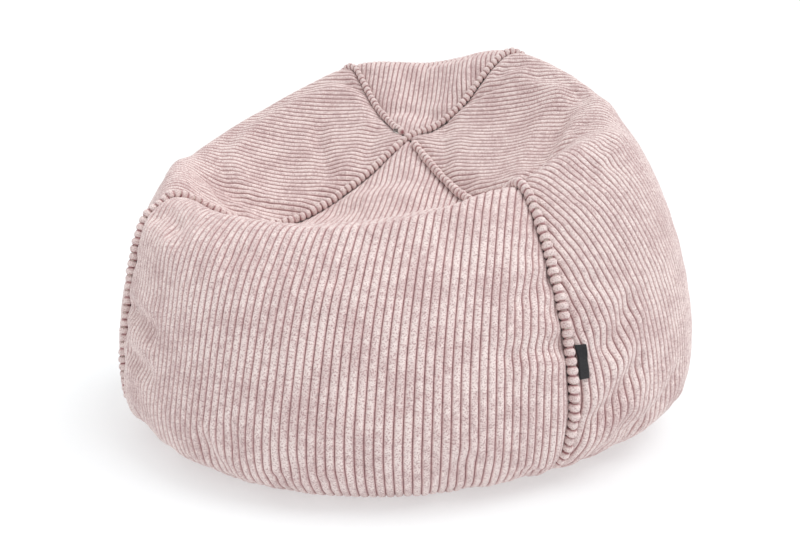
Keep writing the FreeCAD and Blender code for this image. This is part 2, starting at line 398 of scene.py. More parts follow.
@dataclass
class Skin:
    """The cover's surface on a fine grid, with the folds and the pull of the seams worked in."""

    shape: BagShape
    folds: tuple[Fold, ...]
    swelling: Swelling = field(default_factory=Swelling)
    across: int = 1440
    down: int = 400
    seam_pull: float = 0.0050
    seam_reach: float = 0.011
    fold_steps: int = 48
    swell_offset: float = 1.9
    floor_ease: float = 0.003
    points: Array = field(init=False)
    normals: Array = field(init=False)
    to_seam: Array = field(init=False)

    def __post_init__(self) -> None:
        """Places the smooth surface in the CAD model's panels and then shapes it."""
        grid = self.shape.grid(self.across, self.down)
        corners = [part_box(quarter.word + "_panel") for quarter in Quarter]
        low = np.array([c[0] for c in corners]).min(axis=0)
        high = np.array([c[1] for c in corners]).max(axis=0)
        own = grid.reshape(-1, 3)
        offset = (low + high) / 2 - (own.min(axis=0) + own.max(axis=0)) / 2
        offset[2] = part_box("base_panel_front")[0][2]
        log.info("skin offset from the CAD panels: %s", np.round(offset, 5))
        self.points = grid + offset
        self._measure()
        self.points += self.normals * self.swelling.relief(self)[..., None]
        self._measure()
        for fold in self.folds:
            self._press(fold)
        self._measure()
        pull = self.seam_pull * np.exp(-((self.to_seam / self.seam_reach) ** 2))
        self.points -= self.normals * pull[..., None]
        self._measure()

    def _measure(self) -> None:
        """Works out the outward normals and each point's distance to the nearest seam."""
        wrapped = np.concatenate([self.points[-3:-1], self.points, self.points[1:3]])
        along_turn = np.gradient(wrapped, axis=0)[2:-2]
        along_t = np.gradient(self.points, axis=1)
        self.normals = unit_vectors(np.cross(along_t, along_turn))
        crown = unit_vectors(self.normals[:-1, 4].mean(axis=0))
        self.normals[:, :3] = crown
        stretch = np.linalg.norm(along_turn, axis=-1) * self.across / TURNS
        turn = np.linspace(0, TURNS, self.across + 1)
        self.to_seam = np.abs(np.mod(turn, 2.0) - 1.0)[:, None] * stretch

    def _press(self, fold: Fold) -> None:
        """Presses one fold into the surface.

        The depth falls off as a bell curve of the distance to the fold's line and fades at its ends, and a
        wider, shallower bell on each side swells the cloth next to it.

        Args:
            fold: The fold.
        """
        line = np.array(fold.line)
        reach = distances(line * [1, 3])
        reach /= reach[-1]
        even = np.linspace(0, 1, self.fold_steps)
        weights = spline_weights(reach, even) if len(line) > 2 else np.stack([1 - even, even], axis=-1)
        path = sample(self.points, *(weights @ line).T)
        strength = smooth_step(0, fold.taper, even) * smooth_step(0, fold.taper, 1 - even)
        margin = fold.width * 4
        low, high = path.min(axis=0) - margin, path.max(axis=0) + margin
        near = np.all((self.points > low) & (self.points < high), axis=-1)
        spot = self.points[near]
        gaps = np.linalg.norm(spot[:, None] - path[None], axis=-1)
        closest = gaps.argmin(axis=1)
        gap = gaps[np.arange(len(spot)), closest] / fold.width
        profile = -np.exp(-(gap**2)) + fold.swell * np.exp(-((gap - self.swell_offset) ** 2))
        self.points[near] = spot + self.normals[near] * (fold.depth * profile * strength[closest])[:, None]

    def at(self, turn: Array, t: Array) -> tuple[Array, Array]:
        """Points and outward normals at places on the cover."""
        return sample(self.points, turn, t), unit_vectors(sample(self.normals, turn, t))

    def below(self, turn: Array, t: Array, depth: float, floor: float = 0.0) -> Array:
        """Points under the cover, which settle on a floor.

        Args:
            turn: Turns of the places.
            t: t of the places.
            depth: How far under the cover the points are.
            floor: The height that they don't go below.

        Returns:
            The points.
        """
        point, normal = self.at(turn, t)
        point = point - normal * depth
        point[..., 2] = rest_on(point[..., 2], floor, self.floor_ease)
        return point


# --- cloth laid flat --------------------------------------------------------------------------------


@dataclass(frozen=True)
class Edges:
    """One edge of every triangle: the points at its ends, the flat vector from end to start, its weight."""

    start: Array
    end: Array
    vector: Array
    weight: Array


def own_triangles(points: Array, index: Array) -> tuple[Array, Array]:
    """Splits a curved grid into triangles and lays each one flat by itself.

    A triangle's first corner is at nought, its second on the first axis and its third above that axis.

    Args:
        points: Curved grid as (columns, rows, 3).
        index: The points' numbers as (columns, rows).

    Returns:
        Corner numbers as (count, 3) and the corners' own flat places as (count, 3, 2).
    """
    a, b = index[:-1, :-1].ravel(), index[:-1, 1:].ravel()
    c, d = index[1:, 1:].ravel(), index[1:, :-1].ravel()
    corners = np.concatenate([np.stack([a, b, c], axis=1), np.stack([a, c, d], axis=1)])
    curved = points.reshape(-1, 3)[corners]
    first, second = curved[:, 1] - curved[:, 0], curved[:, 2] - curved[:, 0]
    length = np.linalg.norm(first, axis=1)
    reach = (first * second).sum(axis=1) / length
    own = np.zeros((len(corners), 3, 2))
    own[:, 1, 0] = length
    own[:, 2, 0] = reach
    own[:, 2, 1] = np.sqrt(np.maximum((second**2).sum(axis=1) - reach**2, 1e-16))
    return corners, own


def triangle_edges(corners: Array, own: Array) -> list[Edges]:
    """Lists every triangle's edges, each weighted by the cotangent of the angle across from it.

    Args:
        corners: Corner numbers as (count, 3).
        own: The corners' own flat places as (count, 3, 2).

    Returns:
        The three sets of edges.
    """
    edges = []
    for k in range(3):
        i, j = (k + 1) % 3, (k + 2) % 3
        to_i, to_j = own[:, i] - own[:, k], own[:, j] - own[:, k]
        area = np.abs(to_i[:, 0] * to_j[:, 1] - to_i[:, 1] * to_j[:, 0])
        cotangent = (to_i * to_j).sum(axis=1) / np.maximum(area, 1e-12)
        weight = np.clip(cotangent, 0.02, 20.0)
        edges.append(Edges(corners[:, i], corners[:, j], own[:, i] - own[:, j], weight))
    return edges


def flat_solver(edges: list[Edges], count: int, pinned: int) -> Array:
    """Inverse of the equations that balance each point's weighted edges, with one point held.

    Args:
        edges: The triangles' edges.
        count: How many points there are.
        pinned: Number of the held point.

    Returns:
        The inverse matrix as (count, count).
    """
    matrix = np.zeros((count, count))
    for edge in edges:
        for row, column, sign in ((edge.start, edge.start, 1), (edge.end, edge.end, 1),
                                  (edge.start, edge.end, -1), (edge.end, edge.start, -1)):
            np.add.at(matrix, (row, column), sign * edge.weight)
    matrix[pinned] = 0.0
    matrix[pinned, pinned] = 1.0
    return np.linalg.inv(matrix)


def turned_edges(edges: list[Edges], flat: Array, pinned: int) -> Array:
    """Turns every triangle to fit the flat points best, and adds up what its edges ask of each point.

    Args:
        edges: The triangles' edges.
        flat: The flat points as (count, 2).
        pinned: Number of the held point.

    Returns:
        The right side of the equations as (count, 2).
    """
    spread = sum(edge.weight[:, None, None] * (flat[edge.start] - flat[edge.end])[:, :, None]
                 * edge.vector[:, None, :] for edge in edges)
    angle = np.arctan2(spread[:, 1, 0] - spread[:, 0, 1], spread[:, 0, 0] + spread[:, 1, 1])
    cos, sin = np.cos(angle), np.sin(angle)
    target = np.zeros_like(flat)
    for edge in edges:
        x, y = edge.vector.T
        turned = np.stack([cos * x - sin * y, sin * x + cos * y], axis=1) * edge.weight[:, None]
        np.add.at(target, edge.start, turned)
        np.add.at(target, edge.end, -turned)
    target[pinned] = flat[pinned]
    return target


def lay_flat(points: Array, rounds: int = 40) -> Array:
    """Lays a curved grid of cloth out flat, each triangle kept as rigid as possible.

    It takes turns at fitting a rotation to each triangle and solving for the flat points whose edges
    agree best with the turned triangles, weighted by the cotangents of the angles.

    Args:
        points: Curved grid as (columns, rows, 3), from a gore's left seam to its right and from top to base.
        rounds: How often the two steps are repeated.

    Returns:
        Flat grid as (columns, rows, 2): x across the wales from the gore's middle, y up along them.
    """
    columns, rows, _ = points.shape
    middle = columns // 2
    across = np.linalg.norm(np.diff(points, axis=0), axis=-1).cumsum(axis=0)
    across = np.concatenate([np.zeros((1, rows)), across])
    down = np.broadcast_to(-distances(points[middle]), across.shape)
    flat = np.stack([across - across[middle], down], axis=-1).reshape(-1, 2)
    index = np.arange(columns * rows).reshape(columns, rows)
    edges = triangle_edges(*own_triangles(points, index))
    pinned = index[middle, rows // 2]
    solver = flat_solver(edges, index.size, pinned)
    for _ in range(rounds):
        flat = solver @ turned_edges(edges, flat, pinned)
    flat = flat.reshape(columns, rows, 2)
    top, foot = flat[:, 0].mean(axis=0), (flat[0, -1] + flat[-1, -1]) / 2
    line = (top - foot) / np.linalg.norm(top - foot)
    return (flat - top) @ np.array([[line[1], line[0]], [-line[0], line[1]]])


# --- meshes -----------------------------------------------------------------------------------------


def make_mesh(name: str, points: Array, faces: Array, uv: Optional[Array] = None) -> bpy.types.Object:
    """Puts arrays into a smooth-shaded mesh object that rides on the chair.

    Args:
        name: The piece's name.
        points: Vertices as (count, 3).
        faces: Corner indices as (count, 4), where a repeated last corner makes a triangle.
        uv: One (u, v) for each vertex, or none.

    Returns:
        The new object.
    """
    used = np.ones(faces.shape, bool)
    used[:, 3] = faces[:, 3] != faces[:, 2]
    sizes = used.sum(axis=1)
    corners = faces[used].astype(np.int32)
    mesh = bpy.data.meshes.new(name)
    mesh.vertices.add(len(points))
    mesh.vertices.foreach_set("co", np.ascontiguousarray(points, np.float32).ravel())
    mesh.loops.add(len(corners))
    mesh.loops.foreach_set("vertex_index", corners)
    mesh.polygons.add(len(faces))
    mesh.polygons.foreach_set("loop_start", (sizes.cumsum() - sizes).astype(np.int32))
    mesh.update(calc_edges=True)
    mesh.polygons.foreach_set("use_smooth", np.ones(len(mesh.polygons), bool))
    if uv is not None:
        layer = mesh.uv_layers.new(name=CLOTH_MAP)
        layer.data.foreach_set("uv", np.ascontiguousarray(uv[corners], np.float32).ravel())
    mesh.validate()
    mesh.update()
    piece = bpy.data.objects.new(name, mesh)
    bpy.context.scene.collection.objects.link(piece)
    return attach(piece, "chair")


def grid_faces(columns: int, rows: int, close_columns: bool = False, close_rows: bool = False) -> Array:
    """Quads of a grid whose first axis runs left to right and whose second runs down, seen from outside.

    Args:
        columns: Vertices along the first axis.
        rows: Vertices along the second axis.
        close_columns: Whether the last column joins the first.
        close_rows: Whether the last row joins the first.

    Returns:
        Corner indices as (count, 4).
    """
    index = np.arange(columns * rows).reshape(columns, rows)
    if close_columns:
        index = np.concatenate([index, index[:1]])
    if close_rows:
        index = np.concatenate([index, index[:, :1]], axis=1)
    return np.stack([index[:-1, :-1], index[:-1, 1:], index[1:, 1:], index[1:, :-1]], axis=-1).reshape(-1, 4)


def tube_faces(rings: int, sides: int) -> Array:
    """Quads of a tube of rings and a fan that closes each end.

    Args:
        rings: Rings along the tube.
        sides: Vertices in a ring.

    Returns:
        Corner indices as (count, 4). The fans meet in two more vertices after the rings', the first end's
        before the last end's.
    """
    index = np.arange(rings * sides).reshape(rings, sides)
    first, last = np.full(sides, rings * sides), np.full(sides, rings * sides + 1)
    start = np.stack([np.roll(index[0], -1), index[0], first, first], axis=1)
    end = np.stack([index[-1], np.roll(index[-1], -1), last, last], axis=1)
    return np.concatenate([grid_faces(rings, sides, close_rows=True), start, end])


def bag_faces(columns: int, rows: int) -> Array:
    """Faces of a closed bag: a grid whose columns stand all round it, and a fan over each end.

    Args:
        columns: Vertices round the bag.
        rows: Vertices from its top to its underside.

    Returns:
        Corner indices as (count, 4). The fans meet in two more vertices after the grid's, the top's before
        the underside's.
    """
    index = np.arange(columns * rows).reshape(columns, rows)
    ahead = np.roll(index, -1, axis=0)
    top, foot = np.full(columns, index.size), np.full(columns, index.size + 1)
    cap = np.stack([index[:, 0], ahead[:, 0], top, top], axis=1)
    base = np.stack([ahead[:, -1], index[:, -1], foot, foot], axis=1)
    return np.concatenate([grid_faces(columns, rows, close_columns=True), cap, base])


def carry_ring(path: Array, up: Array, wide: Array, tall: Array, sides: int = 16) -> tuple[Array, Array]:
    """Carries a ring along a path.

    The ring at each place is the centre plus wide times the cosine along the side direction and tall
    times the sine along the up direction, and the side direction is square to the path and up.

    Args:
        path: Ring centres as (rings, 3).
        up: A direction for each ring.
        wide: Half width of each ring.
        tall: Half height of each ring.
        sides: Vertices in a ring.

    Returns:
        The tube's vertices, with the two ends' middles last, and (along, around) for each, in metres.
    """
    ahead = unit_vectors(np.gradient(path, axis=0))
    side = unit_vectors(np.cross(ahead, up))
    up = np.cross(side, ahead)
    angle = np.arange(sides) * 2 * math.pi / sides
    ring = (path[:, None] + side[:, None] * (np.cos(angle)[:, None] * wide[:, None, None])
            + up[:, None] * (np.sin(angle)[:, None] * tall[:, None, None]))
    along = distances(path)
    around = np.abs(np.arange(sides) / sides - 0.5) * 2 * math.pi * wide.max()
    uv = np.stack(np.broadcast_arrays(around[None, :], along[:, None]), axis=-1).reshape(-1, 2)
    uv = np.concatenate([uv, [[0, 0], [0, along[-1]]]])
    return np.concatenate([ring.reshape(-1, 3), path[:1], path[-1:]]), uv


# --- finishes ---------------------------------------------------------------------------------------

Colour = tuple[float, float, float]

Input = Union[bpy.types.NodeSocket, float, int, tuple]


def screen_colour(red: int, green: int, blue: int) -> Colour:
    """Turns a screen colour into a linear one by the standard curve, which is straight near black.

    Args:
        red: Red from 0 to 255.
        green: Green from 0 to 255.
        blue: Blue from 0 to 255.

    Returns:
        The linear colour.
    """
    parts = np.array([red, green, blue]) / 255
    linear = np.where(parts <= 0.04045, parts / 12.92, ((parts + 0.055) / 1.055) ** 2.4)
    return tuple(float(part) for part in linear)


class Tree:
    """A node tree that adds and joins nodes in one call."""

    def __init__(self, tree: bpy.types.NodeTree) -> None:
        """Wraps a tree."""
        self.tree = tree

    def add(self, kind: str, inputs: Optional[dict[Any, Input]] = None, **settings: Any) -> bpy.types.Node:
        """Adds a node.

        Args:
            kind: The node's type without ShaderNode.
            inputs: Values or sockets for its inputs, by name or number.
            settings: The node's own properties.

        Returns:
            The node.
        """
        node = self.tree.nodes.new("ShaderNode" + kind)
        for name, value in settings.items():
            setattr(node, name, value)
        for name, value in (inputs or {}).items():
            socket = node.inputs[name]
            if isinstance(value, bpy.types.NodeSocket):
                self.tree.links.new(value, socket)
            elif isinstance(value, tuple) and socket.type == "RGBA":
                socket.default_value = (*value, 1.0)
            else:
                socket.default_value = value
        return node

    def join(self, output: bpy.types.NodeSocket, socket: bpy.types.NodeSocket) -> None:
        """Joins an output to an input socket."""
        self.tree.links.new(output, socket)

    def math(self, operation: str, *values: Input) -> bpy.types.NodeSocket:
        """The result of a Math node."""
        return self.add("Math", dict(enumerate(values)), operation=operation).outputs[0]

    def mix(self, factor: Input, first: Input, second: Input) -> bpy.types.NodeSocket:
        """A blend of two colours. The node's inputs 6 and 7 and its output 2 are its colour sockets."""
        return self.add("Mix", {0: factor, 6: first, 7: second}, data_type="RGBA").outputs[2]

    def ramp(self, value: Input, low: float, high: float) -> bpy.types.NodeSocket:
        """0 to 1 as value rises from low to high, with soft ends."""
        ends = {"Value": value, "From Min": low, "From Max": high}
        return self.add("MapRange", ends, interpolation_type="SMOOTHSTEP").outputs[0]

    def noise(self, vector: Input, scale: Input, detail: float = 2.0) -> bpy.types.NodeSocket:
        """Noise from 0 to 1 at a scale per metre."""
        return self.add("TexNoise", {"Vector": vector, "Scale": scale, "Detail": detail}).outputs[0]


def yarn_group() -> bpy.types.NodeTree:
    """Builds the shared group for cloth made of fibres: colour flecks, slow mottling and a fine height.

    Returns:
        The group. Its inputs are Vector, Colour, Shade, Fibre Scale, Mottle and Fleck, and its outputs are
        Colour, Height and Roughness.
    """
    group = bpy.data.node_groups.new("yarn", "ShaderNodeTree")
    for name, kind, value in (("Vector", "Vector", None), ("Colour", "Color", None), ("Shade", "Color", None),
                              ("Fibre Scale", "Float", 900.0), ("Mottle", "Float", 0.3),
                              ("Fleck", "Float", 0.5)):
        socket = group.interface.new_socket(name, in_out="INPUT", socket_type="NodeSocket" + kind)
        if value is not None:
            socket.default_value = value
    for name, kind in (("Colour", "Color"), ("Height", "Float"), ("Roughness", "Float")):
        group.interface.new_socket(name, in_out="OUTPUT", socket_type="NodeSocket" + kind)
    tree = Tree(group)
    given = group.nodes.new("NodeGroupInput").outputs
    result = group.nodes.new("NodeGroupOutput").inputs
    fibre = tree.noise(given["Vector"], given["Fibre Scale"], 3.0)
    clump = tree.noise(given["Vector"], tree.math("MULTIPLY", given["Fibre Scale"], 0.22))
    slow = tree.noise(given["Vector"], 22.0, 3.0)
    fleck = tree.math("MULTIPLY", tree.ramp(fibre, 0.45, 0.68), given["Fleck"])
    patches = tree.math("MULTIPLY_ADD", clump, 0.5, tree.math("MULTIPLY", slow, 0.5))
    mottle = tree.math("MULTIPLY", tree.ramp(patches, 0.40, 0.62), given["Mottle"])
    shade = tree.math("MINIMUM", tree.math("ADD", fleck, mottle), 1.0)
    tree.join(tree.mix(shade, given["Colour"], given["Shade"]), result["Colour"])
    tree.join(tree.math("MULTIPLY_ADD", fibre, 0.6, tree.math("MULTIPLY", clump, 0.4)), result["Height"])
    tree.join(tree.math("MULTIPLY_ADD", fibre, 0.2, 0.75), result["Roughness"])
    return group


class Coordinates(Enum):
    """What a finish is laid out on: the piece's own cloth map, or its place in space."""

    CLOTH = CLOTH_MAP
    SPACE = "Object"


@dataclass(frozen=True)
class Finish:
    """A fibre finish: flecked and mottled colour, fine bump, and the soft sheen of cloth."""
    name: str
    colour: Colour
    shade: Colour
    group: bpy.types.NodeTree
    coordinates: Coordinates = Coordinates.CLOTH
    fibre_scale: float = 900.0
    mottle: float = 0.3
    fleck: float = 0.5
    bump: float = 0.0004
    sheen: float = 0.3
    sheen_colour: Colour = (1.0, 0.95, 0.93)
    metallic: float = 0.0
    roughness: float = 0.8
    glow: float = 0.0
    sheen_roughness: float = 0.45
    specular: float = 0.3
    yarn_roughness: float = 0.85

    def material(self) -> bpy.types.Material:
        """Builds the material.

        Returns:
            The material, with every value that is the same all over set on the shader's own sockets.
        """
        material = bpy.data.materials.new(self.name)
        material.use_nodes = True
        shader = material.node_tree.nodes["Principled BSDF"]
        for name, value in (("Sheen Weight", self.sheen), ("Sheen Roughness", self.sheen_roughness),
                            ("Sheen Tint", (*self.sheen_colour, 1.0)), ("Specular IOR Level", self.specular),
                            ("Metallic", self.metallic), ("Emission Color", (1.0, 1.0, 1.0, 1.0)),
                            ("Emission Strength", self.glow)):
            shader.inputs[name].default_value = value
        self.dress(Tree(material.node_tree), shader)
        return material

    def vector(self, tree: Tree) -> bpy.types.NodeSocket:
        """Adds the coordinates that the finish reads.

        Args:
            tree: The material's tree.

        Returns:
            The coordinates' socket.
        """
        if self.coordinates is Coordinates.CLOTH:
            return tree.add("UVMap", uv_map=CLOTH_MAP).outputs[0]
        return tree.add("TexCoord").outputs[self.coordinates.value]

    def fibres(self, tree: Tree, vector: Input, colour: Input) -> bpy.types.Node:
        """Places the shared yarn group with this finish's values.

        Args:
            tree: The material's tree.
            vector: The coordinates.
            colour: The main colour, as a socket or a plain colour.

        Returns:
            The group's node.
        """
        values = {"Vector": vector, "Colour": colour, "Shade": self.shade, "Fibre Scale": self.fibre_scale,
                  "Mottle": self.mottle, "Fleck": self.fleck}
        node = tree.add("Group", node_tree=self.group)
        for name, value in values.items():
            if isinstance(value, bpy.types.NodeSocket):
                tree.join(value, node.inputs[name])
            else:
                node.inputs[name].default_value = (*value, 1.0) if isinstance(value, tuple) else value
        return node

    def dress(self, tree: Tree, shader: bpy.types.Node) -> None:
        """Joins colour, roughness and bump to the shader.

        Args:
            tree: The material's tree.
            shader: Its shader.
        """
        fibres = self.fibres(tree, self.vector(tree), self.colour)
        roughness = tree.math("MULTIPLY", fibres.outputs["Roughness"], self.roughness / self.yarn_roughness)
        self.connect(tree, shader, fibres.outputs["Colour"], roughness, fibres.outputs["Height"])

    def connect(self, tree: Tree, shader: bpy.types.Node, colour: bpy.types.NodeSocket,
                roughness: bpy.types.NodeSocket, height: bpy.types.NodeSocket) -> None:
        """Joins three results to the shader.

        Args:
            tree: The material's tree.
            shader: Its shader.
            colour: What Base Color reads.
            roughness: What Roughness reads.
            height: What the bump reads, 1 for this finish's bump distance.
        """
        bump = tree.add("Bump", {"Height": height, "Distance": self.bump, "Strength": 1.0})
        tree.join(colour, shader.inputs["Base Color"])
        tree.join(roughness, shader.inputs["Roughness"])
        tree.join(bump.outputs[0], shader.inputs["Normal"])


@dataclass(frozen=True)
class Corduroy(Finish):
    """Jumbo corduroy: pale brushed pile on the wales, painted shade on their flanks, a darker weave with
    painted shade in the grooves between them, and cracks across the pile.
    """

    # groove colour: the darker weave between the wales, with painted shade; flank colour: painted shade on
    # the wales' sides
    ground_and_groove_shade: Colour = screen_colour(160, 104, 108)
    flank_shade: Colour = screen_colour(212, 180, 178)
    pitch: float = 0.009
    # where the groove's darker weave and painted shade begin across a wale
    groove_shade_start: float = 0.84
    pile_scale: float = 420.0

    def dress(self, tree: Tree, shader: bpy.types.Node) -> None:
        """Colours the pile by its distance to the groove, which the cloth's own coordinates give; shade is
        painted in.

        Across a wale the edge value rises from 0 at its crest to 1 in the groove, and noise makes it ragged.

        Args:
            tree: The material's tree.
            shader: Its shader.
        """
        vector = self.vector(tree)
        across = tree.add("SeparateXYZ", {0: vector}).outputs[0]
        ragged = tree.math("MULTIPLY_ADD", tree.noise(vector, self.pile_scale), 0.16, -0.08)
        phase = tree.math("FRACT", tree.math("ADD", tree.math("DIVIDE", across, self.pitch), 0.5))
        edge = tree.math("MULTIPLY", tree.math("ABSOLUTE", tree.math("SUBTRACT", phase, 0.5)), 2.0)
        edge = tree.math("ADD", edge, ragged)
        squeezed = tree.add("Mapping", {"Vector": vector, "Scale": (0.35, 1.0, 1.0)}).outputs[0]
        crack = tree.math("MULTIPLY", tree.ramp(tree.noise(squeezed, self.pile_scale, 3.0), 0.60, 0.74), 0.55)
        # painted shade: the wale's flanks darker than its crest; the cracks take the same painted flank shade
        pile = tree.mix(tree.ramp(edge, 0.50, 0.92), self.colour, self.flank_shade)
        fibres = self.fibres(tree, vector, tree.mix(crack, pile, self.flank_shade))
        # the groove: the darker weave between the wales, with painted shade in it
        groove = tree.ramp(edge, self.groove_shade_start, 1.02)
        colour = tree.mix(groove, fibres.outputs["Colour"], self.ground_and_groove_shade)
        height = tree.math("SUBTRACT", fibres.outputs["Height"], tree.math("MULTIPLY", crack, 0.9))
        self.connect(tree, shader, colour, fibres.outputs["Roughness"], height)


@dataclass
class Wardrobe:
    """Every finish of the chair, built once."""

    corduroy: bpy.types.Material = field(init=False)
    piping: bpy.types.Material = field(init=False)
    cord: bpy.types.Material = field(init=False)
    base: bpy.types.Material = field(init=False)
    liner: bpy.types.Material = field(init=False)
    tape: bpy.types.Material = field(init=False)
    coil: bpy.types.Material = field(init=False)
    slider: bpy.types.Material = field(init=False)
    label: bpy.types.Material = field(init=False)
    beads: bpy.types.Material = field(init=False)
    floor: bpy.types.Material = field(init=False)

    def __post_init__(self) -> None:
        """Builds the materials."""
        yarn = yarn_group()
        blush, mauve = screen_colour(243, 228, 224), screen_colour(186, 154, 154)
        self.corduroy = Corduroy("blush_corduroy", blush, mauve, yarn, fibre_scale=560.0, mottle=0.42,
                                 fleck=0.85, bump=0.0014, sheen=0.25).material()
        # the piping's groove starts early, painting shade into the crevices between the beads
        self.piping = Corduroy("piping_corduroy", blush, mauve, yarn, fibre_scale=650.0, mottle=0.30,
                               fleck=0.8, bump=0.0010, sheen=0.25, pitch=0.010, groove_shade_start=0.62).material()
        self.cord = Finish("cotton_cord", screen_colour(226, 220, 208), screen_colour(190, 182, 168), yarn,
                           fibre_scale=700.0, bump=0.0004).material()
        self.base = Finish("base_twill", screen_colour(196, 176, 174), screen_colour(160, 138, 138), yarn,
                           fibre_scale=1100.0, bump=0.0003).material()
        self.liner = Finish("liner_cloth", screen_colour(238, 236, 230), screen_colour(212, 208, 200), yarn,
                            fibre_scale=1300.0, bump=0.0002, sheen=0.1).material()
        self.tape = Finish("zip_tape", screen_colour(192, 170, 168), screen_colour(150, 128, 128), yarn,
                           fibre_scale=1400.0, bump=0.0002).material()
        self.coil = Finish("zip_plastic", screen_colour(180, 156, 155), screen_colour(166, 142, 141), yarn,
                           coordinates=Coordinates.SPACE, bump=0.00005, sheen=0.0, roughness=0.45).material()
        self.slider = Finish("zip_slider_paint", screen_colour(172, 148, 147), screen_colour(140, 118, 117),
                             yarn, coordinates=Coordinates.SPACE, bump=0.00005, sheen=0.0,
                             roughness=0.4).material()
        self.label = Finish("label_weave", screen_colour(34, 34, 36), screen_colour(62, 62, 64), yarn,
                            fibre_scale=1800.0, bump=0.0002, sheen=0.1).material()
        self.beads = Finish("foam_beads", screen_colour(242, 242, 240), screen_colour(205, 205, 205), yarn,
                            coordinates=Coordinates.SPACE, fibre_scale=330.0, mottle=0.2, bump=0.002,
                            sheen=0.0).material()
        # painted light: the floor glows a little, lightening the shadows on it and lighting the bag from
        # below
        self.floor = Finish("pale_floor", (0.52, 0.54, 0.55), (0.515, 0.535, 0.545), yarn,
                            coordinates=Coordinates.SPACE, fibre_scale=30.0, bump=0.00001, sheen=0.0,
                            glow=0.45).material()


def finish_piece(piece: bpy.types.Object, material: bpy.types.Material, slot: str,
                 *nodes: str) -> bpy.types.Object:
    """Gives a piece its material and hides the CAD nodes that it stands for.

    Args:
        piece: The piece.
        material: Its material.
        slot: A material slot's name; not used.
        nodes: CAD nodes that it replaces.

    Returns:
        The piece.
    """
    piece.data.materials.append(material)
    if nodes:
        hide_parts(*nodes)
    log.info("%s: %d faces", piece.name, len(piece.data.polygons))
    return piece


# --- the cover --------------------------------------------------------------------------------------


